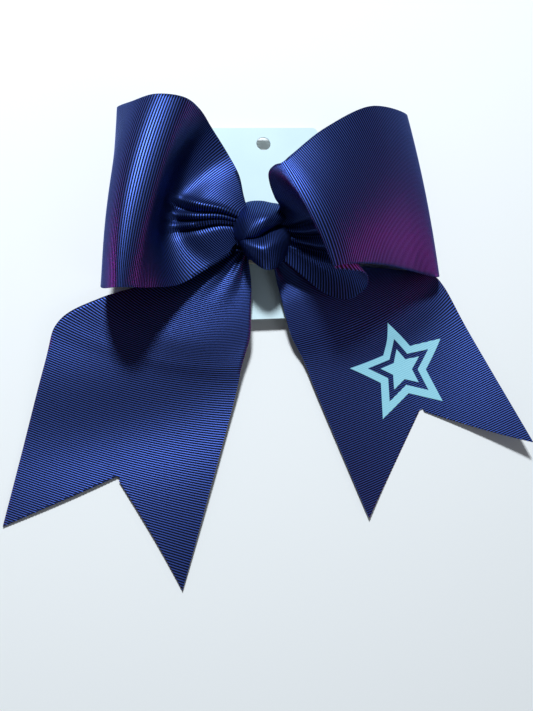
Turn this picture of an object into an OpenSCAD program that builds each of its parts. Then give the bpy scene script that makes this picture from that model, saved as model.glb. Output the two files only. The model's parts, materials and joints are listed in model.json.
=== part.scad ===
// Cheer hair bow on its display card.
// Two loops and two notched tails of wide grosgrain ribbon are gathered in a knot of
// narrower ribbon. A spring clip behind the knot grips the card.
// Millimetres. X is to the wearer's left, Y is up the card, Z is out of the bow's face.
// The origin is on the clip's lower arm, under the knot, in the plane that the bow lies on.

/* [Ribbon] */
// Thickness of the wide ribbon's solids
ribbon_t = 0.8; // [0.6:0.1:1]
// Thickness of the knot's folded ribbon
knot_t = 1.6; // [1.2:0.1:2]
// Depth of the V notch in each tail, as a share of the tail's last span
notch_share = 0.5; // [0.3:0.05:0.6]
// Length of the gap left at each tail's bending line
bend_gap = 0.9; // [0.8:0.1:1.2]

/* [Emblem] */
// Radius of the star's points
star_r = 24; // [18:1:25]
// Thickness of the heat-pressed vinyl
vinyl_t = 0.4; // [0.3:0.1:0.6]
// Turn of the star, anticlockwise from the card's long axis
star_turn = 15; // [0:1:30]

/* [Card] */
// Width of the display card
card_w = 50.8; // [48:0.1:51]
// Height of the display card
card_h = 88.9; // [80:0.1:90]
// Thickness of the card
card_t = 0.5; // [0.3:0.1:0.5]
// Radius of the card's corners
card_corner_r = 2.5; // [1:0.5:5]
// Radius of the punched hang hole
hang_hole_r = 3.175; // [2.5:0.005:4]
// Distance of the hole's centre from the card's top edge
hang_hole_drop = 7.7; // [6:0.1:10]
// Turn of the card, anticlockwise
card_turn = 5; // [0:1:6]

/* [Clip] */
// Width of the clip's arms
clip_w = 8; // [7:0.5:10]
// Thickness of the clip's sheet steel
steel_t = 0.8; // [0.6:0.1:1]
// Distance of the hinge pin behind the knot's centre
pivot_back = 19; // [19:0.5:21]
// Height of the hinge pin's axis
pivot_z = 4; // [3.8:0.1:4.2]
// Radius of the hinge pin
pin_r = 0.9; // [0.8:0.05:1]
// Distance of the jaw's tip in front of the knot's centre
jaw_reach = 19; // [17:0.5:20]

/* [Hidden] */

$fn = 48;
navy = [0.07, 0.10, 0.30];
eps = 0.01;

// Every ribbon is a sheet through three lines: one selvage, the middle and the other selvage.
// Each line runs from the gather along the ribbon.
left_loop_lines = [
    [[-7, 13, 24], [-7, 19, 24], [-9, 28, 24], [-14, 37, 25], [-21, 45, 31], [-28, 50, 38], [-36, 51, 44],
     [-44, 51, 46], [-52, 51, 40], [-59, 56, 22], [-57, 61, 10], [-50, 58, 0.5], [-38, 50, 8], [-22, 34, 11], [-8, 13, 17]],
    [[-8, 4, 24], [-15, 8, 25], [-25, 8, 24], [-33, 10, 22], [-39, 10, 27], [-43, 9, 38], [-47, 8, 45],
     [-53, 8, 46], [-58, 11, 38], [-60, 16, 22], [-58, 21, 9], [-50, 23, 0.5], [-38, 20, 9], [-22, 14, 11], [-8, 7, 17]],
    [[-8, -3, 24], [-11, -4, 23], [-15, -8, 21], [-23, -14, 21], [-33, -22, 24], [-43, -26, 33], [-50, -29, 40],
     [-56, -30, 42], [-61, -28, 34], [-62, -22, 20], [-58, -17, 8], [-50, -13, 0.5], [-38, -10, 9], [-22, -5, 11], [-8, 0, 17]]];
right_loop_lines = [
    [[10, 11, 24], [8, 12, 31], [5, 13, 37], [2, 16, 43], [1, 19, 47], [3, 21, 49], [6, 22, 50], [10, 26, 50],
     [24, 40, 47], [45, 56, 39], [66, 64, 22], [68, 66, 9], [61, 60, 0.5], [48, 50, 8], [30, 31, 11], [13, 13, 17]],
    [[12, 2, 24], [17, 2, 26], [23, 1, 29], [27, 0, 34], [26, 0, 42], [21, 0, 48], [17, 1, 50], [25, 5, 50],
     [41, 13, 44], [59, 22, 33], [74, 27, 20], [74, 31, 9], [66, 32, 0.5], [50, 27, 9], [30, 18, 11], [13, 7, 17]],
    [[11, -7, 23], [20, -13, 18], [30, -19, 15], [39, -22, 18], [45, -19, 25], [42, -16, 34], [27, -18, 43],
     [35, -15, 41], [51, -11, 31], [67, -9, 20], [81, -8, 12], [81, -2, 5], [70, 2, 0.5], [52, 3, 9],
     [32, 1, 11], [13, 0, 17]]];

// The ends of each tail's bending line, which both of its solids meet at right angles
left_bend = [[-80, -38, 5], [-3, -45, 5]];
right_bend = [[19, -40, 5], [87, -11, 5]];
left_root_lines = [
    [[-6, 2, 13], [-25, -9, 11], [-45, -17, 9], [-66, -25, 6], left_bend[0]],
    [[-5, -1, 13], [-13, -13, 12], [-23, -24, 11], [-33, -33, 8], (left_bend[0] + left_bend[1]) / 2],
    [[-4, -4, 13], [-2, -14, 11], [-1, -25, 9], [-1, -35, 7], left_bend[1]]];
left_tail_lines = [
    [left_bend[0], [-84, -60, 4], [-96, -116, 0.5]],
    [(left_bend[0] + left_bend[1]) / 2, [-47, -68, 3], [-61, -128, 1]],
    [left_bend[1], [-9, -72, 4], [-26, -140, 0.5]]];
right_root_lines = [
    [[8, -3, 13], [11, -13, 11], [13, -24, 10], [16, -32, 8], right_bend[0]],
    [[10, -1, 13], [24, -8, 12], [36, -15, 11], [47, -20, 8], (right_bend[0] + right_bend[1]) / 2],
    [[11, 0, 13], [38, -4, 11], [61, -4, 8], [77, -5, 6], right_bend[1]]];
right_tail_lines = [
    [right_bend[0], [30, -65, 4], [50, -111, 2]],
    [(right_bend[0] + right_bend[1]) / 2, [67, -48, 0.7], [86, -95, 0.6]],
    [right_bend[1], [98, -33, 5], [122, -79, 4]]];
knot_upper_lines = [
    [[-11, 10, 14], [-9, 14, 27], [1, 15, 33], [11, 10, 30], [14, 5, 16]],
    [[-12, 4, 14], [-10, 4, 29], [1, 5, 36], [12, 3, 31], [15, 0, 16]],
    [[-12, -2, 14], [-10, -2, 28], [0, -4, 33], [10, -3, 29], [13, -5, 16]]];
knot_lower_lines = [
    [[-6, 0, 28], [-8, -5, 27], [-8, -9, 20], [-5, -8, 12]],
    [[2, 0, 31], [2, -8, 31], [3, -13, 22], [3, -9, 12]],
    [[9, 0, 28], [10, -5, 27], [11, -8, 20], [9, -7, 12]]];
knot_back_lines = [
    [[-11, 9, 15], [-8, 9, 10], [9, 9, 10], [13, 6, 17]],
    [[-12, 3, 15], [-8, 3, 10], [9, 3, 10], [14, 1, 17]],
    [[-11, -3, 15], [-8, -3, 10], [9, -3, 10], [13, -4, 17]]];

card_centre = [8.4, 16.2, 5.35];
lining_z = 6;
lining_t = 0.4;
arm_z = lining_z + lining_t;
pad_z = arm_z + steel_t;
pad_t = 1.9;
handle_reach = 35;
ear_r = 2.2;
ear_t = 0.6;
running_gap = 0.05;
spring_wire_r = 0.3;
spring_r = 1.35;
spring_turns = 3;
star_centre = [67, -47];

// A point at share t between p1 and p2 on a Catmull-Rom curve
function blend4(p0, p1, p2, p3, t) =
    (2 * p1 + (p2 - p0) * t + (2 * p0 - 5 * p1 + 4 * p2 - p3) * t * t
     + (3 * p1 - p0 - 3 * p2 + p3) * t * t * t) / 2;

// A point at station u on a line of control points
function on_line(line, u) = let(
    last = len(line) - 1,
    i = min(max(floor(u), 0), last - 1),
    before = i > 0 ? line[i - 1] : 2 * line[0] - line[1],
    after = i + 2 <= last ? line[i + 2] : 2 * line[last] - line[last - 1])
    blend4(before, line[i], line[i + 1], after, u - i);

// A point of a sheet, at station u along it and share v across it
function on_sheet(lines, u, v) =
    on_line(lines[0], u) * (1 - 2 * v) * (1 - v) + on_line(lines[1], u) * 4 * v * (1 - v)
    + on_line(lines[2], u) * v * (2 * v - 1);

function unit(a) = a / norm(a);

// The sheet's unit normal, from short steps along and across it
function sheet_normal(lines, u, v, h = 0.02) =
    unit(cross(on_sheet(lines, u + h, v) - on_sheet(lines, u - h, v),
               on_sheet(lines, u, v + h) - on_sheet(lines, u, v - h)));

// A solid sheet between two offsets from its middle surface.
// trim0 and trim1 take length off the two ends, in stations, and notch cuts a V in the last end.
module sheet(lines, low, high, along, across, trim0 = 0, trim1 = 0, notch = 0) {
    last = len(lines[0]) - 1;
    function end_u(v) = last - trim1 - notch * (1 - abs(2 * v - 1));
    function point_at(i, j, lift) = let(
        v = j / across,
        u = trim0 + (end_u(v) - trim0) * i / along)
        on_sheet(lines, u, v) + sheet_normal(lines, u, v) * lift;
    row = across + 1;
    layer = (along + 1) * row;
    points = [for (lift = [low, high], i = [0 : along], j = [0 : across]) point_at(i, j, lift)];
    function quad(a, b, c, d) = [[a, b, c], [a, c, d]];
    bottom = [for (i = [0 : along - 1], j = [0 : across - 1])
        each quad(i * row + j, (i + 1) * row + j, (i + 1) * row + j + 1, i * row + j + 1)];
    top = [for (f = bottom) [f[2] + layer, f[1] + layer, f[0] + layer]];
    side0 = [for (i = [0 : along - 1])
        each quad(i * row, i * row + layer, (i + 1) * row + layer, (i + 1) * row)];
    side1 = [for (i = [0 : along - 1]) let(a = i * row + across)
        each quad(a, a + row, a + row + layer, a + layer)];
    end0 = [for (j = [0 : across - 1]) each quad(j, j + 1, j + 1 + layer, j + layer)];
    end1 = [for (j = [0 : across - 1]) let(a = along * row + j)
        each quad(a, a + layer, a + layer + 1, a + 1)];
    polyhedron(points, concat(bottom, top, side0, side1, end0, end1));
}

module ribbon(lines, along, across, trim0 = 0, trim1 = 0, notch = 0) {
    color(navy) sheet(lines, -ribbon_t / 2, ribbon_t / 2, along, across, trim0, trim1, notch);
}

module left_loop() {
    ribbon(left_loop_lines, 39, 8);
}

module right_loop() {
    ribbon(right_loop_lines, 45, 8);
}

module left_tail_root() {
    ribbon(left_root_lines, 12, 8, trim1 = bend_gap / 2 / 14);
}

module left_tail() {
    ribbon(left_tail_lines, 12, 8, trim0 = bend_gap / 2 / 26, notch = notch_share);
}

module right_tail_root() {
    ribbon(right_root_lines, 12, 8, trim1 = bend_gap / 2 / 9);
}

module right_tail() {
    ribbon(right_tail_lines, 12, 8, trim0 = bend_gap / 2 / 26, notch = notch_share);
}

// A bar with round edges, along X, given by its ends and its outline's box
module rounded_bar(x0, x1, y0, y1, z0, z1) {
    r = (z1 - z0) / 2;
    translate([x0, 0, 0]) rotate([90, 0, 90]) linear_extrude(x1 - x0) {
        translate([y0 + r, z0]) square([y1 - y0 - 2 * r, 2 * r]);
        translate([y0 + r, z0 + r]) circle(r);
        translate([y1 - r, z0 + r]) circle(r);
    }
}

module gather_core() {
    color(navy) difference() {
        rounded_bar(-8.5, 12, -6, 13, 12, 25);
        rounded_bar(-0.5, 4.5, -7, 14, 10, 12.6);
    }
}

module gather_tie() {
    color("white") difference() {
        rounded_bar(0, 3, -7, 14, 11, 26);
        rounded_bar(-1, 5, -6, 13, 12, 25);
    }
}

module knot_upper_fold() {
    color(navy) sheet(knot_upper_lines, -knot_t / 2, knot_t / 2, 16, 8);
}

module knot_lower_fold() {
    color(navy) sheet(knot_lower_lines, -knot_t / 2, knot_t / 2, 12, 8);
}

module knot_back_band() {
    color(navy) sheet(knot_back_lines, -ribbon_t / 2, ribbon_t / 2, 12, 6);
}

module glue_pad() {
    color("ivory") translate([-10, -5, pad_z]) cube([21, 10, pad_t]);
}

// A strip of sheet steel along X, given by the points of its lower face as seen from the side
module steel_strip(profile, width) {
    back = [for (i = [len(profile) - 1 : -1 : 0]) profile[i] + [0, steel_t]];
    translate([0, width / 2, 0]) rotate([90, 0, 0]) linear_extrude(width) polygon(concat(profile, back));
}

// Two ears with the pin's bore, standing between the arm at arm_height and the pivot
module ears(outer_width, arm_height, bore_r) {
    for (y = [-outer_width / 2, outer_width / 2 - ear_t])
        translate([-pivot_back, y + ear_t, 0]) rotate([90, 0, 0]) linear_extrude(ear_t) difference() {
            union() {
                translate([0, pivot_z]) circle(ear_r);
                translate([-ear_r, min(arm_height, pivot_z)]) square([2 * ear_r, abs(arm_height - pivot_z)]);
            }
            translate([0, pivot_z]) circle(bore_r);
        }
}

module clip_upper_arm() {
    color("silver") {
        steel_strip([[-handle_reach, arm_z + 0.6], [-pivot_back - 4, arm_z], [jaw_reach, arm_z]], clip_w);
        ears(clip_w, arm_z + eps, pin_r);
    }
}

module clip_lining() {
    color(navy) translate([-pivot_back + ear_r + 0.4, -clip_w / 2, lining_z])
        cube([pivot_back + jaw_reach - ear_r - 0.4, clip_w, lining_t]);
}

module clip_pin() {
    color("gainsboro") translate([-pivot_back, clip_w / 2 + 0.6, pivot_z]) rotate([90, 0, 0]) {
        cylinder(h = clip_w + 1.2, r = pin_r);
        cylinder(h = 0.5, r = pin_r * 1.6);
        translate([0, 0, clip_w + 0.7]) cylinder(h = 0.5, r = pin_r * 1.6);
    }
}

// The lower arm bows down to the resting plane and back up to the card at its tip
module clip_lower_arm() {
    tip_z = card_centre[2] - 0.1 - steel_t;
    inner_w = clip_w - 2 * ear_t - 0.4;
    color("silver") {
        steel_strip([[-handle_reach, 0.2], [-pivot_back - 2, 1.2], [-pivot_back + 3, 1.2], [-10, 0], [9, 0],
                     [jaw_reach - 2, tip_z], [jaw_reach, tip_z]], inner_w);
        ears(inner_w, 1.2 + eps, pin_r + running_gap);
    }
}

// A torsion spring: wire coiled on the pin, with a leg to each handle
module clip_spring() {
    sides = 8;
    steps_per_turn = 14;
    steps = spring_turns * steps_per_turn + steps_per_turn / 2;
    pitch = 3.6 / (steps + 1);
    function coil(k) = let(a = 90 + 360 * k / steps_per_turn)
        [-pivot_back + spring_r * cos(a), -1.8 + pitch * k, pivot_z + spring_r * sin(a)];
    path = concat([[-handle_reach + 5, -1.8, arm_z - 0.1]], [for (k = [0 : steps]) coil(k)],
                  [[-handle_reach + 5, 1.8, 1.7]]);
    function along(k) = unit(path[min(k + 1, len(path) - 1)] - path[max(k - 1, 0)]);
    function ring(k) = let(d = along(k), s = unit(cross(d, [0, 1, 0.01])), t = cross(d, s))
        [for (j = [0 : sides - 1]) let(a = 360 * j / sides)
            path[k] + spring_wire_r * (s * cos(a) + t * sin(a))];
    last = len(path) - 1;
    points = [for (k = [0 : last]) each ring(k)];
    walls = [for (k = [0 : last - 1], j = [0 : sides - 1]) let(
        a = k * sides + j, b = k * sides + (j + 1) % sides)
        each [[a, a + sides, b + sides], [a, b + sides, b]]];
    caps = [[for (j = [0 : sides - 1]) j], [for (j = [sides - 1 : -1 : 0]) last * sides + j]];
    color("gray") polyhedron(points, concat(walls, caps));
}

module display_card() {
    r = card_corner_r;
    color("whitesmoke") translate(card_centre) rotate(card_turn) difference() {
        linear_extrude(card_t) union() {
            square([card_w - 2 * r, card_h], center = true);
            square([card_w, card_h - 2 * r], center = true);
            for (x = [-1, 1], y = [-1, 1])
                translate([x * (card_w / 2 - r), y * (card_h / 2 - r)]) circle(r);
        }
        translate([0, card_h / 2 - hang_hole_drop, -1]) cylinder(h = card_t + 2, r = hang_hole_r);
    }
}

// A five-pointed star
module star(r) {
    polygon([for (i = [0 : 9]) let(k = i % 2 == 0 ? r : 0.48 * r) k * [sin(36 * i), cos(36 * i)]]);
}

// Vinyl of a given outline, pressed on the right tail's face
module vinyl() {
    intersection() {
        sheet(right_tail_lines, ribbon_t / 2, ribbon_t / 2 + vinyl_t, 12, 8, 0.02, 0, notch_share);
        translate([star_centre[0], star_centre[1], -5]) rotate(star_turn) linear_extrude(20) children();
    }
}

module emblem_outline() {
    color("lightblue") vinyl() difference() {
        star(star_r);
        star(star_r * 0.66);
    }
}

module emblem_star() {
    color("lightblue") vinyl() star(star_r * 0.42);
}

left_loop();
right_loop();
left_tail_root();
left_tail();
right_tail_root();
right_tail();
gather_core();
gather_tie();
knot_upper_fold();
knot_lower_fold();
knot_back_band();
glue_pad();
clip_upper_arm();
clip_lining();
clip_pin();
clip_spring();
clip_lower_arm();
display_card();
emblem_outline();
emblem_star();
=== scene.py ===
# %% [markdown]
# # A cheer hair bow
#
# A cheer bow is one long strip of wide grosgrain ribbon, folded into two loops and two tails and
# squeezed at its middle by a knot of narrower ribbon. A spring clip sits behind the knot, and in a
# shop the clip grips a small hang card. The CAD frame already holds the card, the clip and every
# hinge, so this lesson loads it and then makes what CAD is poor at: ribbon with real ribs in it.

# %% Load the frame
import json
import math

import bmesh
import bpy
import numpy as np
from mathutils import Euler, Matrix, Vector


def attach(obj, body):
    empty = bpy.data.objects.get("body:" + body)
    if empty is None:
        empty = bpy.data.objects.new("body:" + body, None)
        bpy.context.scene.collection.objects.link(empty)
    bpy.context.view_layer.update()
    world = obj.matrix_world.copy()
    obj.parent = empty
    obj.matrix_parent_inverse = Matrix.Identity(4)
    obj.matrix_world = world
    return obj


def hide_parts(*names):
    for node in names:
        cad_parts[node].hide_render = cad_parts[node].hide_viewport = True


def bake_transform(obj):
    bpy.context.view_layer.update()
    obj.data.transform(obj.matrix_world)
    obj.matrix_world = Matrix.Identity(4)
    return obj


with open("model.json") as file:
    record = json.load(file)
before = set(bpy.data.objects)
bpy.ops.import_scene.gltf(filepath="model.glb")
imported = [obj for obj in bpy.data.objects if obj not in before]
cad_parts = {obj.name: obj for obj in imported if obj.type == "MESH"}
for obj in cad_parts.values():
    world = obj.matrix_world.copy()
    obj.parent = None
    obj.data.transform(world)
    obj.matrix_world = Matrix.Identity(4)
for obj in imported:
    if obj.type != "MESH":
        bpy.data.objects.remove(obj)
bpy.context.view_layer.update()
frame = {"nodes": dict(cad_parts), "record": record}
MM = 0.001

# %% [markdown]
# ## The viewpoint
#
# The bow lies on a table and is seen from above, a little from below its tails. A new camera looks
# straight down, so it only has to be tipped and swung by two small angles, and then backed away along
# its own axis. It stands close, because a longer lens from further off would flatten the bow.

# %% Camera
VIEW_TIP = math.radians(14.5)
VIEW_SWING = math.radians(-9)
VIEW_CENTRE = Vector((7.5, -43.1, 0)) * MM
VIEW_DISTANCE = 383 * MM
LENS_MM = 45.57

camera = bpy.data.objects.new("camera", bpy.data.cameras.new("camera"))
camera.rotation_euler = Euler((VIEW_TIP, VIEW_SWING, 0))
camera.location = VIEW_CENTRE + camera.rotation_euler.to_matrix() @ Vector((0, 0, VIEW_DISTANCE))
camera.data.lens = LENS_MM
camera.data.sensor_width = 36
camera.data.clip_start = 0.01
bpy.context.collection.objects.link(camera)
bpy.context.scene.camera = camera
print("camera at, mm:", [round(x / MM) for x in camera.location], "lens", LENS_MM)

# %% [markdown]
# ## The light
#
# Ribs show best in light that rakes across them. One small lamp from the upper left gives the ribs
# their bright sides and the loops their shadows, and a wide, weak one from the other side fills the
# rest. A world background could do the filling alone, but it would reach under the loops too. Two low
# red lamps stand for a coloured table beside the bow, which tints the loops' outer sides.


# %% Lamps
def lamp(name, towards, distance, size, power, colour):
    """A square lamp that shines at the bow from a direction."""
    light = bpy.data.lights.new(name, "AREA")
    light.size = size
    light.energy = power
    light.color = colour
    place = bpy.data.objects.new(name, light)
    away = Vector(towards).normalized()
    place.location = VIEW_CENTRE + away * distance
    place.rotation_euler = away.to_track_quat("Z", "Y").to_euler()
    bpy.context.collection.objects.link(place)
    return place


# metres, metres and watts
lamp("key", (-0.20, 0.60, 0.95), distance=1.1, size=0.14, power=14, colour=(0.82, 0.93, 1.0))
lamp("fill", (0.6, -0.6, 0.9), distance=1.3, size=0.6, power=1.0, colour=(0.75, 0.88, 1.0))
glow_lamps = [
    lamp("left_glow", (-1.0, 0.05, 0.09), distance=0.6, size=0.2, power=3.4, colour=(1.0, 0.02, 0.16)),
    lamp("right_glow", (1.0, 0.10, 0.10), distance=0.6, size=0.2, power=2.2, colour=(1.0, 0.02, 0.12)),
]

WORLD_COLOUR = (0.86, 0.93, 1.0, 1)
WORLD_STRENGTH = 0.12
world = bpy.data.worlds.new("studio")
world.use_nodes = True
background = world.node_tree.nodes["Background"]
background.inputs["Color"].default_value = WORLD_COLOUR
background.inputs["Strength"].default_value = WORLD_STRENGTH
bpy.context.scene.world = world
bpy.context.scene.view_settings.view_transform = "Standard"
print("lamps:", [light.name for light in bpy.data.lights])

# %% [markdown]
# ## Writing materials as sums
#
# Shader maths reads best as arithmetic. `Wire` holds one output socket, and adding or multiplying
# wires adds the Math node that does it. `Finish` holds one material and makes every other node.


# %% A wire
class Wire:
    """An output socket that can be added to, multiplied and so on."""

    def __init__(self, tree, socket):
        self.tree = tree
        self.socket = socket

    def maths(self, operation, first, second=0.0):
        node = self.tree.nodes.new("ShaderNodeMath")
        node.operation = operation
        for slot, value in zip(node.inputs, (first, second)):
            if isinstance(value, Wire):
                self.tree.links.new(value.socket, slot)
            else:
                slot.default_value = value
        return Wire(self.tree, node.outputs[0])

    def __add__(self, other):
        return self.maths("ADD", self, other)

    def __sub__(self, other):
        return self.maths("SUBTRACT", self, other)

    def __rsub__(self, other):
        return self.maths("SUBTRACT", other, self)

    def __mul__(self, other):
        return self.maths("MULTIPLY", self, other)

    def __truediv__(self, other):
        return self.maths("DIVIDE", self, other)

    def __pow__(self, other):
        return self.maths("POWER", self, other)

    __radd__ = __add__
    __rmul__ = __mul__

    def sine(self):
        return self.maths("SINE", self)

    def size(self):
        """The distance from zero."""
        return self.maths("ABSOLUTE", self)


# %% A finish
class Finish:
    """A material under construction."""

    def __init__(self, name):
        self.material = bpy.data.materials.new(name)
        self.material.use_nodes = True
        self.tree = self.material.node_tree
        self.tree.nodes.clear()

    def node(self, kind, settings=(), inputs=(), output=0):
        """Adds a node: its settings first, then its sockets' values or wires, and one output's wire."""
        node = self.tree.nodes.new(kind)
        for key, value in dict(settings).items():
            if key == "stops":
                for stop, (place, colour) in zip(self.ramp_stops(node, len(value)), value):
                    stop.position = place
                    stop.color = (*colour, 1)
            else:
                setattr(node, key, value)
        for key, value in dict(inputs).items():
            if isinstance(value, Wire):
                self.tree.links.new(value.socket, node.inputs[key])
            else:
                node.inputs[key].default_value = value
        return Wire(self.tree, node.outputs[output]) if node.outputs else None

    def parts(self, vector):
        """The three numbers of a vector wire."""
        split = self.node("ShaderNodeSeparateXYZ", inputs={0: vector}).socket.node
        return [Wire(self.tree, socket) for socket in split.outputs]

    def ramp_stops(self, node, count):
        stops = node.color_ramp.elements
        while len(stops) < count:
            stops.new(1.0)
        return stops

    def surface(self, **inputs):
        """Ends the material in a Principled shader, with socket names written with underscores."""
        named = {key.replace("_", " "): value for key, value in inputs.items()}
        shader = self.node("ShaderNodeBsdfPrincipled", inputs=named)
        self.node("ShaderNodeOutputMaterial", inputs={"Surface": shader})
        print("finish", self.material.name, "has", len(self.tree.nodes), "nodes")
        return self.material


# %% [markdown]
# ## The floor
#
# A plain pale floor catches the shadows, so that the bow doesn't float. One square is enough, with a
# fine bump that keeps it from looking like glass.

# %% Floor
FLOOR_HALF = 1.5
floor_finish = Finish("pale_floor")
floor_grain = floor_finish.node("ShaderNodeTexNoise", inputs={"Scale": 60.0, "Detail": 4.0})
floor_bump = floor_finish.node("ShaderNodeBump", inputs={"Height": floor_grain, "Strength": 0.05})
floor_finish.surface(Base_Color=(0.92, 0.88, 0.86, 1), Roughness=0.8, Normal=floor_bump)
bm = bmesh.new()
bmesh.ops.create_grid(bm, x_segments=1, y_segments=1, size=FLOOR_HALF)
floor_mesh = bpy.data.meshes.new("floor")
bm.to_mesh(floor_mesh)
bm.free()
floor_mesh.materials.append(floor_finish.material)
floor = bpy.data.objects.new("floor", floor_mesh)
bpy.context.collection.objects.link(floor)
print("floor", 2 * FLOOR_HALF, "m wide")

# %% [markdown]
# ## Grosgrain
#
# Grosgrain is woven over thick cords that run straight across the ribbon, so each face is a row of
# small rounded ribs with sharp grooves between them. They are real geometry here. The yarns that
# cover the cords run along the ribbon, and are too fine for geometry, so they are a bump that
# follows the ribbon's own flat coordinates. The sheen could come from a sheen layer or from a weak
# metallic share; the second keeps a glint on the ribs that is narrow and deep blue, as on satin yarn.

# %% Grosgrain finish
RIB_PITCH = 0.95 * MM
YARN_PITCH = 0.32 * MM
RIB_SHADE_SHARPNESS = 4
METAL_SHARE = 0.8
# the Attribute node's output for three numbers
THREE_NUMBERS = 1
YARN_STRETCH = (900, 5000)
YARN_DEPTH = 0.04 * MM


def grosgrain(name, groove, rib, gloss_tint):
    """Ribbon cloth. The flat coordinates are metres along and across, and then the rib height."""
    cloth = Finish(name)
    flat = cloth.node("ShaderNodeAttribute", {"attribute_name": "flat"}, output=THREE_NUMBERS)
    along, across = cloth.parts(flat)[:2]
    height = (along * (math.pi / RIB_PITCH)).sine().size()
    yarn_space = cloth.node(
        "ShaderNodeCombineXYZ", inputs={0: along * YARN_STRETCH[0], 1: across * YARN_STRETCH[1]}
    )
    yarn_noise = cloth.node(
        "ShaderNodeTexNoise", inputs={"Vector": yarn_space, "Scale": 1.0, "Detail": 2.0}
    )
    cloud = cloth.node("ShaderNodeTexNoise", inputs={"Vector": flat, "Scale": 45.0, "Detail": 3.0})
    # the colour is painted light and shade: near black in the grooves and bright navy in narrow lines on
    # the crests, mixed with the yarns' and a faint cloud's own real tone
    shade = height**RIB_SHADE_SHARPNESS + (yarn_noise - 0.5) * 0.4 + (cloud - 0.5) * 0.25
    colour = cloth.node("ShaderNodeValToRGB", {"stops": [(0.2, groove), (0.95, rib)]}, {"Fac": shade})
    yarns = (across * (math.tau / YARN_PITCH)).sine()
    bump = cloth.node(
        "ShaderNodeBump",
        inputs={"Height": yarns * 0.5 + yarn_noise, "Strength": 0.2, "Distance": YARN_DEPTH},
    )
    roughness = 0.62 - height * 0.20 + (yarn_noise - 0.5) * 0.12
    return cloth.surface(
        Base_Color=colour,
        Metallic=METAL_SHARE,
        Roughness=roughness,
        Specular_IOR_Level=1.0,
        Specular_Tint=(*gloss_tint, 1),
        Normal=bump,
    )


# the groove colour is painted shade, near black where the grooves fall dark
NAVY_GROOVE_SHADE = (0.0004, 0.0003, 0.003)
NAVY_RIB = (0.048, 0.092, 0.40)
NAVY_GLOSS = (0.45, 0.62, 1.0)
navy_cloth = grosgrain("navy_grosgrain", NAVY_GROOVE_SHADE, NAVY_RIB, NAVY_GLOSS)

# %% [markdown]
# ## A sheet through control lines
#
# A wide ribbon bends and twists but hardly stretches, so its shape is set by its edges. Each ribbon
# is drawn as three lines in space: one selvage, the middle and the other selvage, each a few points
# long. A Catmull-Rom curve runs through the points, and a parabola joins the three lines. Matching
# points of the three lines lie on one rib, so the ribs turn with the ribbon. A NURBS patch could do
# the same, but a grid of our own can also be asked for the flat place of any point.


# %% Curves

def curve_weights(x, count):
    """The first of four neighbours of each x on a row of points, and their Catmull-Rom weights."""
    first = np.clip(np.floor(x).astype(int), 0, count - 2)
    t = x - first
    weights = (
        (-t + 2 * t**2 - t**3) / 2,
        (2 - 5 * t**2 + 3 * t**3) / 2,
        (t + 4 * t**2 - 3 * t**3) / 2,
        (-(t**2) + t**3) / 2,
    )
    return first, weights


def on_line(points, x):
    """Points at positions x, counted in control points, on a smooth curve."""
    padded = np.pad(points, ((1, 1), (0, 0)), mode="reflect", reflect_type="odd")
    first, weights = curve_weights(x, len(points))
    return sum(w[:, None] * padded[first + k] for k, w in enumerate(weights))


# %% Surfaces
NORMAL_STEP = 0.4 * MM
NO_LENGTH = 1e-12


def unit(vectors):
    """The same directions with length 1, in an array whose last axis is x, y, z."""
    return vectors / np.maximum(np.linalg.norm(vectors, axis=-1), NO_LENGTH)[..., None]


class Surface:
    """A smooth surface through a grid of points, addressed by the ribbon's flat coordinates."""

    def __init__(self, grid, length, width):
        self.grid = np.asarray(grid)
        self.padded = np.pad(self.grid, ((1, 1), (1, 1), (0, 0)), mode="reflect", reflect_type="odd")
        self.length = length
        self.width = width

    def at(self, along, across):
        rows, columns = self.grid.shape[:2]
        i, wi = curve_weights(along / self.length * (rows - 1), rows)
        j, wj = curve_weights(across / self.width * (columns - 1), columns)
        return sum(
            (wi[a] * wj[b])[:, None] * self.padded[i + a, j + b] for a in range(4) for b in range(4)
        )

    def normal(self, along, across, step=NORMAL_STEP):
        run = self.at(along + step, across) - self.at(along - step, across)
        rise = self.at(along, across + step) - self.at(along, across - step)
        return unit(np.cross(run, rise))


# %% A grid through three lines
RIBBON_W = 76.2 * MM
CELL = 2.0 * MM
ACROSS = 49
LINE_STEPS = 600


def drawn_lines(lines):
    """Three lines in fine steps, each step's place counted in control points, and its distance."""
    stations = np.linspace(0, len(lines[0]) - 1, LINE_STEPS)
    drawn = np.array([on_line(np.array(line, float), stations) for line in lines]) * MM
    steps = np.average(np.linalg.norm(np.diff(drawn, axis=1), axis=2), axis=0, weights=(1, 2, 1))
    return drawn, stations, np.concatenate([[0], np.cumsum(steps)])


def control_grid(lines, length, columns=ACROSS):
    """A grid of points in metres on the sheet through three lines of points that share their ribs."""
    drawn, stations, run = drawn_lines(lines)
    even = np.interp(np.linspace(0, run[-1], round(length / CELL) + 1), run, stations)
    rows = [on_line(line, even / stations[1]) for line in drawn]
    v = np.linspace(0, 1, columns)
    shares = ((1 - 2 * v) * (1 - v), 4 * v * (1 - v), v * (2 * v - 1))
    return sum(row[:, None, :] * share[None, :, None] for row, share in zip(rows, shares))


# %% [markdown]
# ## The four ribbons as lines
#
# A loop starts inside the knot, rises, turns over its crest and comes back along the table to the
# knot. Its right-hand twin also curls its lip towards the knot first. A tail comes out under the
# loops, dips to the table and ends at its two points. Each row of points runs from the knot outwards.

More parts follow.
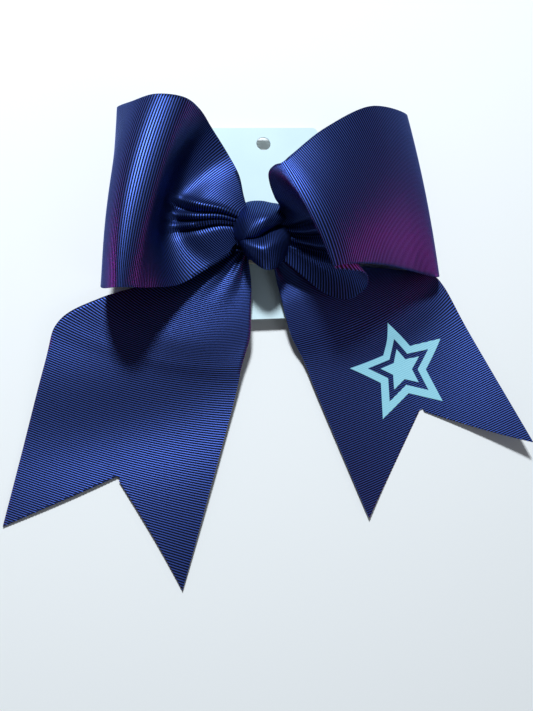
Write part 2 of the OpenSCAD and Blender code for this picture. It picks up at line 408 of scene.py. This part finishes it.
# %% The four ribbons' control lines, mm
LEFT_LOOP = [
    [(-4, 11, 24), (-6, 19, 24), (-8, 28, 24), (-13, 37, 25), (-20, 45, 30), (-26, 49, 38),
     (-33, 50, 44.5), (-44, 50, 45), (-53, 50, 38), (-59, 56, 22), (-57, 61, 10), (-50, 58, 1),
     (-38, 50, 8), (-22, 34, 11), (-4, 11, 17)],
    [(-4, 6, 24), (-15, 8, 26), (-26, 8, 25), (-34, 10, 21), (-39, 10, 25), (-41, 9, 38),
     (-44, 8, 45.5), (-54, 8, 46.5), (-60, 11, 38), (-60, 16, 22), (-58, 21, 9), (-50, 23, 1),
     (-38, 20, 9), (-22, 14, 11), (-4, 7, 17)],
    [(-4, 0, 23), (-9, -2, 22), (-13, -7, 20), (-21, -13, 19), (-32, -21, 22), (-43, -26, 32),
     (-50, -29, 40), (-56, -30, 42), (-61, -28, 34), (-62, -22, 20), (-58, -17, 8), (-50, -13, 1),
     (-38, -10, 9), (-22, -5, 11), (-4, 2, 17)],
]
RIGHT_LOOP = [
    [(7, 10, 24), (8, 12, 31), (5, 13, 37), (2, 16, 43), (1, 19, 47), (3, 21, 49), (6, 22, 50),
     (10, 26, 50), (24, 40, 47), (45, 56, 39), (66, 64, 22), (68, 66, 9), (61, 60, 1), (48, 50, 8),
     (30, 31, 11), (8, 11, 17)],
    [(7, 3, 24), (17, 2, 26), (23, 1, 29), (27, 0, 34), (26, 0, 42), (21, 0, 48), (17, 1, 50),
     (25, 5, 50), (41, 13, 44), (59, 22, 33), (74, 27, 20), (74, 31, 9), (66, 32, 1), (50, 27, 9),
     (30, 18, 11), (8, 6, 17)],
    [(7, -5, 23), (20, -13, 18), (30, -19, 15), (39, -22, 18), (45, -19, 25), (42, -16, 34),
     (27, -18, 43), (35, -15, 41), (51, -11, 31), (67, -9, 20), (81, -8, 12), (81, -2, 5), (70, 2, 1),
     (52, 3, 9), (32, 1, 11), (8, 0, 17)],
]
LEFT_TAIL = [
    [(-3, 2, 15), (-23, -8, 13), (-43, -17, 11), (-63, -24, 9), (-79, -34, 7), (-84, -53, 5),
     (-96, -116, 0.8)],
    [(-3, 0, 15), (-13, -15, 13), (-23, -27, 11), (-34, -38, 8), (-42, -47, 5), (-46, -64, 3),
     (-61, -128, 1.4)],
    [(-3, -3, 15), (-1, -16, 12), (-1, -27, 10), (-1, -38, 8), (-4, -50, 7), (-8, -69, 5),
     (-26, -140, 1)],
]
RIGHT_TAIL = [
    [(7, -3, 15), (10, -13, 11), (13, -24, 10), (17, -36, 7), (23, -46, 4), (30, -63, 3), (50, -111, 2)],
    [(7, -1, 15), (22, -8, 12), (36, -15, 10), (51, -22, 7), (60, -32, 3), (67, -47, 0.7),
     (86, -95, 0.7)],
    [(8, 1, 15), (38, -4, 11), (61, -4, 8), (78, -4, 5.5), (86, -9, 4.5), (97, -31, 5), (121, -79, 9)],
]
for lines in (LEFT_LOOP, RIGHT_LOOP, LEFT_TAIL, RIGHT_TAIL):
    print("drawn length, mm:", round(drawn_lines(lines)[2][-1] / MM), "in", len(lines[0]), "stations")

# %% [markdown]
# ## Pleats and creases
#
# Where the knot squeezes it, a ribbon's spare width stands up in pleats. They start at the knot and
# fade along the ribbon. Soft pleats are a wave across the ribbon, and a pressed crease is a small step
# in it, sharp at its edge. A tail also has long shallow waves from the way it was packed. All of them
# push a grid of points along its normals. Blender's Cloth could find such pleats by itself, but on a
# loop as stiff as this it only adds ripples, so they are placed where a knot makes them.


# %% Soft pleats
def grid_normals(grid):
    return unit(np.cross(np.gradient(grid, axis=0), np.gradient(grid, axis=1)))


def middle_run(grid):
    """The distance of each row from the first, along the middle."""
    steps = np.linalg.norm(np.diff(grid[:, grid.shape[1] // 2], axis=0), axis=1)
    return np.concatenate([[0], np.cumsum(steps)])


def pleated(grid, waves, depth, fade, phase, at_start):
    """Pushes soft pleats into a grid's first or last end. They flatten out at the selvages."""
    run = middle_run(grid)
    far = run if at_start else run[-1] - run
    strength = np.exp(-((far / fade) ** 2))
    v = np.linspace(0, 1, grid.shape[1])
    flattening = np.sin(math.pi * np.clip(v, 0.01, 0.99)) ** 0.3
    wave = np.cos(math.tau * waves * v + phase) * flattening
    return grid + grid_normals(grid) * (strength[:, None] * wave * depth)[..., None]


# %% Pressed creases
def creased(grid, creases):
    """Presses folds into a grid's first end: share across, step, half width and reach, mm.

    A fold is a step: the ribbon rises slowly to an edge, drops by the step and rises again. It
    deepens along its reach, and then ends quickly.
    """
    run = middle_run(grid)[:, None] / MM
    v = np.linspace(0, 1, grid.shape[1])[None, :]
    push = np.zeros(grid.shape[:2])
    for share, step, half_width, reach in creases:
        beside = (v - share) * RIBBON_W / MM / half_width
        profile = beside * np.exp(1 - np.abs(beside))
        deepening = 0.3 + 0.7 * run / reach
        push -= step * profile * deepening * np.exp(-((run / reach) ** 6))
    return grid + grid_normals(grid) * (push * MM)[..., None]


# %% Shallow waves
def dented(grid, dents):
    """Presses long dents: along, across, depth, half length and half width, mm, and turn, degrees."""
    run = middle_run(grid)[:, None] / MM
    breadth = np.linspace(0, RIBBON_W / MM, grid.shape[1])[None, :]
    push = np.zeros(grid.shape[:2])
    for along, across, depth, half_length, half_width, turn in dents:
        c, s = math.cos(math.radians(turn)), math.sin(math.radians(turn))
        far = ((run - along) * c + (breadth - across) * s) / half_width
        beside = ((breadth - across) * c - (run - along) * s) / half_length
        push -= depth * np.exp(-(far**2) - beside**2)
    return grid + grid_normals(grid) * (push * MM)[..., None]


# %% [markdown]
# ## From the roll to the bow
#
# Each ribbon is first modelled as it comes off the roll: a flat slab in a bmesh, cut to length, with
# its V notch cut by two planes. Its flat coordinates are kept in an attribute, for the finish. Then
# every vertex is carried to the same flat place on the bow's surface, and out along the normal by
# half the ribbon's thickness, which swells over each cord.

# %% Cutting ribbon
STEPS_PER_RIB = 4


def given_sides(bm):
    """Gives a flat shape a back at z 0 and a face at z 1."""
    back = bmesh.ops.extrude_face_region(bm, geom=bm.faces[:])
    risen = [part for part in back["geom"] if isinstance(part, bmesh.types.BMVert)]
    bmesh.ops.translate(bm, vec=(0, 0, 1), verts=risen)
    bmesh.ops.recalc_face_normals(bm, faces=bm.faces)
    return bm


def flat_slab(length, width, columns, notch=0.0):
    """A flat ribbon as a bmesh: x along it, y across it, z 0 at its back and 1 at its face."""
    ribs = round(length / RIB_PITCH)
    bm = bmesh.new()
    bmesh.ops.create_grid(bm, x_segments=ribs * STEPS_PER_RIB, y_segments=columns, size=0.5)
    bmesh.ops.translate(bm, vec=(0.5, 0.5, 0), verts=bm.verts)
    bmesh.ops.scale(bm, vec=(length, width, 1), verts=bm.verts)
    if notch:
        middle = Vector((length - notch, width / 2, 0))
        for side in (0, 1):
            tip = Vector((length, side * width, 0))
            cut = (tip - middle).cross(Vector((0, 0, 1))) * (1 if side else -1)
            half = [f for f in bm.faces if (f.calc_center_median().y > width / 2) == bool(side)]
            edges = {e for f in half for e in f.edges}
            verts = {v for f in half for v in f.verts}
            bmesh.ops.bisect_plane(
                bm, geom=half + list(edges) + list(verts), plane_co=middle, plane_no=cut, clear_outer=True
            )
    return given_sides(bm)


# %% Laying ribbon
RIBBON_T = 0.30 * MM
RIB_H = 0.13 * MM
RIB_ROUNDNESS = 0.8
GROOVE_CROWDING = 0.07
SHARP_ANGLE = math.radians(88)


def rib_height(along):
    """From 0 in a groove to 1 on a rib's crest."""
    return np.abs(np.sin(math.pi * along / RIB_PITCH)) ** RIB_ROUNDNESS


def laid(name, bm, surface, finish, thickness, rib_depth, lift=0.0):
    """Turns a flat slab into a piece that lies on a surface."""
    mesh = bpy.data.meshes.new(name)
    bm.to_mesh(mesh)
    bm.free()
    flat = np.empty(len(mesh.vertices) * 3)
    mesh.vertices.foreach_get("co", flat)
    flat = flat.reshape(-1, 3)
    # crowds the steps towards the grooves, so that four of them round a rib
    along = flat[:, 0] - GROOVE_CROWDING * RIB_PITCH * np.sin(math.tau * flat[:, 0] / RIB_PITCH)
    across, side = flat[:, 1], flat[:, 2]
    height = rib_height(along)
    half = thickness / 2 + rib_depth * height
    out = (lift + half * (2 * side - 1))[:, None]
    place = surface.at(along, across) + surface.normal(along, across) * out
    mesh.vertices.foreach_set("co", place.ravel())
    mark = mesh.attributes.new("flat", "FLOAT_VECTOR", "POINT")
    mark.data.foreach_set("vector", np.column_stack([along, across, height]).ravel())
    mesh.materials.append(finish)
    mesh.shade_smooth()
    mesh.set_sharp_from_angle(angle=SHARP_ANGLE)
    mesh.update()
    piece = bpy.data.objects.new(name, mesh)
    bpy.context.collection.objects.link(piece)
    mesh.calc_loop_triangles()
    print(name, len(mesh.loop_triangles), "triangles")
    return piece


# %% [markdown]
# ## The two loops
#
# A loop's ribbon is squeezed at both of its ends. The end on top gets the pressed creases that fan out
# of the knot, and the end underneath gets soft pleats. Each loop rides whole on the bow, because no
# joint crosses it.

# %% The two loops
COLUMNS = 48
LEFT_LOOP_LENGTH = 184 * MM
RIGHT_LOOP_LENGTH = 210 * MM
LOOP_PLEATS = 3.5
LOOP_PLEAT_DEPTH = 3 * MM
LOOP_PLEAT_FADE = 20 * MM
LEFT_CREASES = [(0.41, 3.4, 1.8, 34), (0.53, 3.0, 1.6, 33), (0.63, 2.6, 1.6, 33)]
RIGHT_CREASES = [(0.40, 2.4, 1.8, 26), (0.55, 3.0, 1.8, 29), (0.70, 3.0, 2.0, 33)]


def loop(name, lines, length, creases, phase):
    """One loop: its control sheet, pleated and creased, and the ribbon laid on it."""
    grid = control_grid(lines, length)
    grid = pleated(grid, LOOP_PLEATS, LOOP_PLEAT_DEPTH, LOOP_PLEAT_FADE, phase, at_start=False)
    surface = Surface(creased(grid, creases), length, RIBBON_W)
    slab = flat_slab(length, RIBBON_W, COLUMNS)
    piece = laid(name, slab, surface, navy_cloth, RIBBON_T, RIB_H)
    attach(piece, "bow")
    return piece


left_loop = loop("left_loop_ribbon", LEFT_LOOP, LEFT_LOOP_LENGTH, LEFT_CREASES, 0.0)
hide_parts("left_loop")
right_loop = loop("right_loop_ribbon", RIGHT_LOOP, RIGHT_LOOP_LENGTH, RIGHT_CREASES, 0.5)
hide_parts("right_loop")

# %% [markdown]
# ## The two tails
#
# A tail lifts off the table by bending across its width, near the knot. Riding the tail on one body
# alone would tear it from the knot, so here it rides on no body, and its bend is not built.

# %% A tail's hinge
joints = {joint["name"]: joint for joint in frame["record"]["behaviour"]["joints"]}


def bends_at(piece, side):
    """Bakes a piece's placement into its mesh. The outward direction at the side's tail hinge is found but
    not used.
    """
    joint = joints[side + "_tail_lift"]
    outward = Vector(joint["axis"]).cross(Vector((0, 0, -1))).normalized()
    if outward.y > 0:
        outward = -outward
    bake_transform(piece)


# %% Two tails
LEFT_TAIL_LENGTH = 152 * MM
RIGHT_TAIL_LENGTH = 140 * MM
NOTCH = 34 * MM
TAIL_PLEATS = 3
TAIL_PLEAT_FADE = 18 * MM
LEFT_DENTS = [(60, 40, -1.7, 60, 18, 26), (94, 42, 1.7, 60, 18, 26)]


def tail(side, lines, length, pleat_depth, dents=()):
    """One tail, from the gather to its notched end."""
    grid = control_grid(lines, length)
    grid = pleated(grid, TAIL_PLEATS, pleat_depth, TAIL_PLEAT_FADE, 0, at_start=True)
    surface = Surface(dented(grid, dents), length, RIBBON_W)
    slab = flat_slab(length, RIBBON_W, COLUMNS, NOTCH)
    piece = laid(side + "_tail_ribbon", slab, surface, navy_cloth, RIBBON_T, RIB_H)
    bends_at(piece, side)
    return piece, surface


left_tail, left_tail_surface = tail("left", LEFT_TAIL, LEFT_TAIL_LENGTH, 1 * MM, LEFT_DENTS)
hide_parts("left_tail", "left_tail_root")
right_tail, right_tail_surface = tail("right", RIGHT_TAIL, RIGHT_TAIL_LENGTH, 1.5 * MM)
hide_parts("right_tail", "right_tail_root")

# %% [markdown]
# ## The knot
#
# The knot is an overhand knot in ribbon a third as wide as the bow's. From the front it shows two folds.
# The upper one comes round from behind on the left, crosses the top and dives into the middle. The
# lower one comes out from under it, fans down and goes round the right side to the back. Each is a
# small net of points: one row for each place along the ribbon, with the selvages turned under.

# %% The knot's nets, mm
KNOT_W = 25.4 * MM
KNOT_RIB_H = 0.12 * MM
UPPER_FOLD = [
    [(-3, 15, 12), (-4, 14, 13), (-6, 7, 14), (-6, 1, 14), (-4, 2, 13)],
    [(-6, 17, 15), (-7.5, 15.5, 18), (-10.5, 7, 21), (-9.5, 1, 21), (-6.5, 2, 17)],
    [(-2, 18, 17), (-4, 16.5, 22), (-7, 6, 29), (-7.5, -2, 27), (-4.5, 0, 22)],
    [(2.5, 18, 18), (1, 17, 23), (-2.5, 6.5, 32), (-5.5, -2, 31), (-2.5, 0.5, 25)],
    [(7, 17, 19), (5.5, 16, 24), (1.5, 5.5, 34), (-1.5, -1.5, 31), (1, 1.5, 25)],
    [(10, 16, 20), (9, 15, 25), (5.5, 6.5, 33), (2, 1, 30), (3.5, 4, 25)],
    [(12, 14, 20), (11.5, 12, 25), (8.5, 6.5, 31), (5.5, 3.5, 29), (6, 6.5, 24)],
    [(12, 11, 20), (12, 9.5, 24), (11, 7.5, 27), (9, 6.5, 26), (8, 8.5, 22)],
    [(10, 9, 18), (9.5, 8, 20), (9, 7, 21), (7.5, 7, 20), (6.5, 8, 19)],
]
LOWER_FOLD = [
    [(-4, 1.5, 20), (-6, 1, 23), (-7.5, -1, 24), (-7, -1.5, 21), (-4.5, 0.5, 16)],
    [(-3.5, 1, 24), (-5.5, 0, 27), (-6.5, -4.5, 29), (-5, -7, 25), (-2.5, -4, 19)],
    [(-1, 0.5, 25), (-2, -0.5, 28), (-2.5, -7, 32), (-1.5, -11, 26), (1, -8, 20)],
    [(2.5, 2.5, 25), (1.5, 0.5, 28), (1.5, -8, 33), (3, -13.5, 26), (4.5, -9.5, 20)],
    [(5.5, 4.5, 25), (5.5, 2.5, 28), (5.5, -6, 32), (7.5, -12, 25), (8, -8, 19)],
    [(9, 7.5, 23), (9, 5.5, 26), (10, -2, 29), (11.5, -6.5, 23), (11.5, -4, 18)],
    [(12, 11.5, 20), (13, 9, 23), (14.5, 3, 23), (14.5, -1, 19), (13, 1, 15)],
    [(12.5, 14, 14), (14, 12.5, 14), (15.5, 8, 14), (15, 3.5, 13), (13, 3, 12)],
    [(9, 11, 11), (9, 10, 10.5), (9.5, 7, 10.5), (9, 4, 10.5), (9, 4, 11)],
]
BACK_TOP, BACK_BOTTOM = 11, -4
BACK_STATIONS = [
    (-8, -10, 18, 18), (-8, -9.5, 13, 13), (-5, -6, 10.5, 9.6), (2, 2, 10.5, 9.6),
    (9, 10, 10.5, 9.6), (12.5, 14, 13, 13), (13, 14.5, 18, 18),
]
BACK_BAND = [
    [(x_in, 4, z_in), (x_in, BACK_TOP, z_in), (x_out, 4, z_out), (x_in, BACK_BOTTOM, z_in), (x_in, 3, z_in)]
    for x_in, x_out, z_in, z_out in BACK_STATIONS
]


# %% The knot's folds
KNOT_COLUMNS = 60
NET_STEPS = 400


def net_grid(net, columns=41):
    """A grid on the sheet through a net of points, evenly spaced along the net's middle."""
    net = np.array(net, float) * MM
    stations = np.linspace(0, len(net) - 1, NET_STEPS)
    middle = on_line(net[:, net.shape[1] // 2], stations)
    run = np.concatenate([[0], np.cumsum(np.linalg.norm(np.diff(middle, axis=0), axis=1))])
    rows = round(run[-1] / MM) + 1
    even = np.interp(np.linspace(0, run[-1], rows), run, stations)
    lines = np.array([on_line(net[:, k], even) for k in range(net.shape[1])])
    places = np.linspace(0, net.shape[1] - 1, columns)
    return np.array([on_line(lines[:, row], places) for row in range(rows)]), float(run[-1])


def knot_fold(name, net, node):
    """One fold of the knot's ribbon, in place of its CAD node."""
    grid, length = net_grid(net)
    surface = Surface(grid, length, KNOT_W)
    slab = flat_slab(length, KNOT_W, KNOT_COLUMNS)
    piece = laid(name, slab, surface, navy_cloth, RIBBON_T, KNOT_RIB_H)
    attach(piece, "bow")
    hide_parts(node)
    print(name, "is", round(length / MM, 1), "mm long")


knot_fold("knot_upper_fold_ribbon", UPPER_FOLD, "knot_upper_fold")
knot_fold("knot_lower_fold_ribbon", LOWER_FOLD, "knot_lower_fold")
knot_fold("knot_back_band_ribbon", BACK_BAND, "knot_back_band")

# %% [markdown]
# ## Inside the knot
#
# Under the knot the wide ribbon is folded to and fro like an accordion, and a waxed thread holds the
# folds. Seen from the side they show, so they are real: one sheet whose net is a zigzag, and a thread
# spun round it with `bmesh.ops.spin`, which makes a helix when each step also moves along the axis.

# %% Gathered middle
CORE_CENTRE = (3.2, 18.5)
CORE_HALF = (7.2, 3.9)
CORE_FOLDS = 12
CORE_ENDS = (-8.5, 12)
CORE_COLUMNS = 8 * CORE_FOLDS
CORE_T = 0.2 * MM
CORE_RIB_H = 0.1 * MM


def zigzag_row(x):
    """One row of the accordion: its folds shrink towards its two sides, into a round bundle."""
    row = []
    for k in range(CORE_FOLDS + 1):
        y = CORE_HALF[0] * (2 * k / CORE_FOLDS - 1)
        reach = CORE_HALF[1] * math.sqrt(1 - (y / (CORE_HALF[0] + 1)) ** 2) * (-1) ** k
        row.append((x, CORE_CENTRE[0] + y, CORE_CENTRE[1] + reach))
    return row


core_rows = [zigzag_row(x) for x in np.linspace(*CORE_ENDS, 4)]
core_grid, core_length = net_grid(core_rows, columns=CORE_COLUMNS + 1)
core_slab = flat_slab(core_length, RIBBON_W, CORE_COLUMNS)
core_surface = Surface(core_grid, core_length, RIBBON_W)
core = laid("gathered_middle_ribbon", core_slab, core_surface, navy_cloth, CORE_T, CORE_RIB_H)
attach(core, "bow")
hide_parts("gather_core")

# %% Thread finish
# the Texture Coordinate node's output for the place on the object itself
OBJECT_PLACE = 3
thread_finish = Finish("waxed_thread")
thread_place = thread_finish.node("ShaderNodeTexCoord", output=OBJECT_PLACE)
twist = thread_finish.node(
    "ShaderNodeTexWave",
    {"bands_direction": "DIAGONAL"},
    {"Vector": thread_place, "Scale": 900.0, "Distortion": 1.0},
)
# the darker bands between the turns of the twist are painted shade
thread_colour = thread_finish.node(
    "ShaderNodeValToRGB",
    {"stops": [(0.0, (0.45, 0.46, 0.48)), (1.0, (0.80, 0.82, 0.84))]},
    {"Fac": twist},
)
thread_bump = thread_finish.node(
    "ShaderNodeBump", inputs={"Height": twist, "Strength": 0.5, "Distance": 0.05 * MM}
)
thread_finish.surface(Base_Color=thread_colour, Roughness=0.45, Coat_Weight=0.2, Normal=thread_bump)

# %% Thread
THREAD_R = 0.24 * MM
THREAD_TURNS = 6
THREAD_START = 0.2 * MM
THREAD_SIDES = 8
STEPS_PER_TURN = 32
# a little over two radii, so that the turns lie side by side
THREAD_PITCH = 2.1 * THREAD_R
THREAD_CLEARANCE = 0.9

bm = bmesh.new()
bmesh.ops.create_circle(bm, segments=THREAD_SIDES, radius=THREAD_R)
bmesh.ops.translate(bm, vec=(CORE_HALF[0] * MM, 0, 0), verts=bm.verts)
bmesh.ops.rotate(bm, matrix=Matrix.Rotation(math.radians(90), 3, "X"), verts=bm.verts)
bmesh.ops.spin(
    bm,
    geom=bm.edges[:],
    axis=(0, 0, 1),
    cent=(0, 0, 0),
    angle=math.tau * THREAD_TURNS,
    steps=STEPS_PER_TURN * THREAD_TURNS,
    dvec=(0, 0, THREAD_PITCH / STEPS_PER_TURN),
)
bmesh.ops.holes_fill(bm, edges=[e for e in bm.edges if e.is_boundary], sides=THREAD_SIDES)
bmesh.ops.rotate(bm, matrix=Matrix.Rotation(math.radians(90), 3, "Y"), verts=bm.verts)
tie_half = [half + THREAD_CLEARANCE for half in CORE_HALF]
bmesh.ops.scale(
    bm, vec=(1, tie_half[0] / CORE_HALF[0], tie_half[1] / CORE_HALF[0]), verts=bm.verts
)
bmesh.ops.translate(bm, vec=(THREAD_START, CORE_CENTRE[0] * MM, CORE_CENTRE[1] * MM), verts=bm.verts)
bmesh.ops.recalc_face_normals(bm, faces=bm.faces)
tie_mesh = bpy.data.meshes.new("gather_thread")
bm.to_mesh(tie_mesh)
bm.free()
tie_mesh.materials.append(thread_finish.material)
tie_mesh.shade_smooth()
tie = bpy.data.objects.new("gather_thread", tie_mesh)
bpy.context.collection.objects.link(tie)
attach(tie, "bow")
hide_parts("gather_tie")
print("thread turns", THREAD_TURNS, "box mm", [round(x / MM, 1) for x in tie.dimensions])

# %% [markdown]
# ## The emblem
#
# The emblem is thin vinyl, cut to a star and pressed on hot, so it follows every rib under it. It is
# cut flat like the ribbon, from two ten-cornered circles whose every second corner is pulled in, and
# laid on the same surface, just above the ribs. A flat decal a little above the cloth would be easier,
# but it would lift off the ribbon wherever the tail curves.

# %% Vinyl finish
vinyl = Finish("pressed_vinyl")
vinyl_flat = vinyl.node("ShaderNodeAttribute", {"attribute_name": "flat"}, output=THREE_NUMBERS)
vinyl_rib = (vinyl.parts(vinyl_flat)[0] * (math.pi / RIB_PITCH)).sine().size()
scuff = vinyl.node("ShaderNodeTexNoise", inputs={"Vector": vinyl_flat, "Scale": 300.0, "Detail": 5.0})
speck = vinyl.node("ShaderNodeTexNoise", inputs={"Vector": vinyl_flat, "Scale": 3500.0, "Detail": 2.0})
# darker over the grooves is painted shade; the scuffs and specks are the vinyl's own uneven tone
vinyl_rib_shade_and_scuffs = vinyl_rib * 0.45 + scuff * 0.5 + (speck - 0.5) * 0.3
vinyl_colour = vinyl.node(
    "ShaderNodeValToRGB",
    {"stops": [(0.1, (0.20, 0.48, 0.60)), (0.8, (0.36, 0.70, 0.80))]},
    {"Fac": vinyl_rib_shade_and_scuffs},
)
vinyl_bump = vinyl.node(
    "ShaderNodeBump", inputs={"Height": speck, "Strength": 0.15, "Distance": 0.03 * MM}
)
vinyl.surface(
    Base_Color=vinyl_colour,
    Roughness=0.5 - vinyl_rib * 0.1,
    Specular_IOR_Level=0.4,
    Normal=vinyl_bump,
)


# %% The emblem's place on the tail
STAR_PLACE = np.array([67, -47]) * MM


def flat_place(surface, x_y):
    """The flat coordinates of a ribbon's point under a place, and the ribbon's turn there."""
    along, across = np.meshgrid(
        np.linspace(0, surface.length, 200), np.linspace(0, surface.width, 120), indexing="ij"
    )
    along, across = along.ravel(), across.ravel()
    away = np.linalg.norm(surface.at(along, across)[:, :2] - x_y, axis=1)
    nearest = int(away.argmin())
    a, c = along[nearest : nearest + 1], across[nearest : nearest + 1]
    run = (surface.at(a + MM, c) - surface.at(a - MM, c))[0]
    return float(a[0]), float(c[0]), math.atan2(run[1], run[0])


star_along, star_across, tail_turn = flat_place(right_tail_surface, STAR_PLACE)
print("star at", [round(x / MM, 1) for x in (star_along, star_across)], "mm on the tail")

# %% Cutting and pressing the stars
STAR_R = 24 * MM
STAR_WAIST = 0.48
STAR_TURN = math.radians(15)
TINY = 0.01
VINYL_T = 0.14 * MM
VINYL_RIB = 0.06 * MM
VINYL_LIFT = RIBBON_T / 2 + RIB_H * 0.9 + VINYL_T / 2


def star_band(outer, inner, cuts_around, cuts_across):
    """A flat star-shaped band, cut into a fine grid so that it can follow the ribs."""
    bm = bmesh.new()
    for radius in (outer, inner):
        corners = bmesh.ops.create_circle(bm, segments=10, radius=radius)["verts"]
        bmesh.ops.scale(bm, vec=(STAR_WAIST, STAR_WAIST, 1), verts=corners[1::2])
    bmesh.ops.bridge_loops(bm, edges=bm.edges[:])
    bmesh.ops.subdivide_edges(bm, edges=[e for e in bm.edges if e.is_boundary], cuts=cuts_around)
    inward = [e for e in bm.edges if not e.is_boundary]
    bmesh.ops.subdivide_edges(bm, edges=inward, cuts=cuts_across)
    return bm


for name, node, outer, inner, cuts in (
    ("emblem_outline_vinyl", "emblem_outline", 1.0, 0.66, (60, 16)),
    ("emblem_star_vinyl", "emblem_star", 0.42, TINY, (26, 26)),
):
    bm = star_band(outer * STAR_R, inner * STAR_R, *cuts)
    if inner == TINY:
        hole = [e for e in bm.edges if e.is_boundary and e.verts[0].co.length < STAR_R * 0.1]
        bmesh.ops.holes_fill(bm, edges=hole)
    bmesh.ops.rotate(bm, matrix=Matrix.Rotation(STAR_TURN - tail_turn, 3, "Z"), verts=bm.verts)
    bmesh.ops.translate(bm, vec=(star_along, star_across, 0), verts=bm.verts)
    given_sides(bm)
    piece = laid(name, bm, right_tail_surface, vinyl.material, VINYL_T, VINYL_RIB, VINYL_LIFT)
    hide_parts(node)
    bends_at(piece, "right")

# %% [markdown]
# ## Finishes of the frame's own pieces
#
# The card, the clip and the glue keep their CAD shapes and only need better finishes. Stamped steel
# shows fine lines along the strip, the spring is dull wire, hot glue is milky with soft bumps, and the
# card is coated board with a faint cast of blue and a little grain.


# %% Coated board
def board():
    """White card with a faint cloudy cast and a fine grain."""
    paper = Finish("coated_board")
    place = paper.node("ShaderNodeTexCoord", output=OBJECT_PLACE)
    grain = paper.node("ShaderNodeTexNoise", inputs={"Vector": place, "Scale": 2500.0, "Detail": 4.0})
    cast = paper.node("ShaderNodeTexNoise", inputs={"Vector": place, "Scale": 25.0, "Detail": 3.0})
    colour = paper.node(
        "ShaderNodeValToRGB",
        {"stops": [(0.25, (0.60, 0.73, 0.76)), (0.75, (0.72, 0.86, 0.89))]},
        {"Fac": cast * 0.8 + grain * 0.2},
    )
    bump = paper.node("ShaderNodeBump", inputs={"Height": grain, "Strength": 0.15, "Distance": 0.03 * MM})
    return paper.surface(Base_Color=colour, Roughness=0.5 + grain * 0.1, Coat_Weight=0.1, Normal=bump)


# %% Steel
def steel(name, colour, roughness, line_scale):
    """Bare steel with fine lines along x, about 1 / line_scale metres apart."""
    metal = Finish(name)
    place = metal.node("ShaderNodeTexCoord", output=OBJECT_PLACE)
    stretch = (line_scale * 0.03, line_scale, line_scale)
    drawn = metal.node("ShaderNodeMapping", inputs={"Vector": place, "Scale": stretch})
    lines = metal.node("ShaderNodeTexNoise", inputs={"Vector": drawn, "Scale": 1.0, "Detail": 4.0})
    smudge = metal.node("ShaderNodeTexNoise", inputs={"Vector": place, "Scale": 120.0, "Detail": 2.0})
    bump = metal.node("ShaderNodeBump", inputs={"Height": lines, "Strength": 0.2, "Distance": 0.02 * MM})
    tone = metal.node(
        "ShaderNodeValToRGB",
        {"stops": [(0.3, tuple(0.75 * c for c in colour)), (0.7, colour)]},
        {"Fac": lines * 0.5 + smudge * 0.5},
    )
    return metal.surface(Base_Color=tone, Metallic=1.0, Roughness=roughness + lines * 0.15, Normal=bump)


# %% Lining and glue
def lining():
    """Narrow ribbon under the clip's upper arm, which keeps its grip from slipping."""
    cloth = Finish("ribbon_lining")
    place = cloth.node("ShaderNodeTexCoord", output=OBJECT_PLACE)
    along, across = cloth.parts(place)[:2]
    rib = (along * (math.pi / RIB_PITCH)).sine().size()
    yarn = (across * (math.tau / YARN_PITCH)).sine()
    fuzz = cloth.node("ShaderNodeTexNoise", inputs={"Vector": place, "Scale": 3000.0, "Detail": 2.0})
    # near black in the grooves is painted shade; the fuzz is the cloth's own tone
    colour = cloth.node(
        "ShaderNodeValToRGB",
        {"stops": [(0.1, (0.001, 0.001, 0.006)), (0.95, (0.03, 0.07, 0.30))]},
        {"Fac": rib**2 + (fuzz - 0.5) * 0.4},
    )
    bump = cloth.node(
        "ShaderNodeBump", inputs={"Height": rib + yarn * 0.2, "Strength": 0.6, "Distance": 0.2 * MM}
    )
    return cloth.surface(Base_Color=colour, Roughness=0.55 - rib * 0.1, Normal=bump)


def hot_glue():
    """Milky glue with soft bumps."""
    glue = Finish("hot_glue")
    place = glue.node("ShaderNodeTexCoord", output=OBJECT_PLACE)
    swirl = glue.node(
        "ShaderNodeTexNoise",
        inputs={"Vector": place, "Scale": 350.0, "Detail": 3.0, "Distortion": 1.5},
    )
    colour = glue.node(
        "ShaderNodeValToRGB",
        {"stops": [(0.3, (0.62, 0.57, 0.42)), (0.7, (0.85, 0.82, 0.70))]},
        {"Fac": swirl},
    )
    bump = glue.node("ShaderNodeBump", inputs={"Height": swirl, "Strength": 0.6, "Distance": 0.4 * MM})
    return glue.surface(Base_Color=colour, Roughness=0.25 + swirl * 0.2, Coat_Weight=0.4, Normal=bump)


# %% Dressing the frame
def dress(nodes, finish):
    """Gives CAD nodes a finish, and leaves their shapes alone."""
    for name in nodes:
        mesh = frame["nodes"][name].data
        mesh.materials.clear()
        mesh.materials.append(finish)
    print(", ".join(nodes), "in", finish.name)


dress(["display_card"], board())
dress(["clip_upper_arm", "clip_lower_arm"], steel("stamped_steel", (0.72, 0.74, 0.78), 0.22, 3000))
dress(["clip_pin"], steel("pin_steel", (0.60, 0.62, 0.66), 0.30, 2000))
dress(["clip_spring"], steel("spring_wire", (0.42, 0.43, 0.46), 0.32, 1500))
dress(["clip_lining"], lining())
dress(["glue_pad"], hot_glue())

# %% [markdown]
# ## A side glow on the cloth alone
#
# The two red side lamps tint the loops, and would also turn the pale floor pink. Light linking names
# the pieces that a lamp may shine on, so here the lamps shine on the bow's ribbons and nothing else.

# %% Light linking
ribbons = bpy.data.collections.new("ribbons")
for name in ("left_loop_ribbon", "right_loop_ribbon", "left_tail_ribbon", "right_tail_ribbon"):
    ribbons.objects.link(bpy.data.objects[name])
for light in glow_lamps:
    light.light_linking.receiver_collection = ribbons
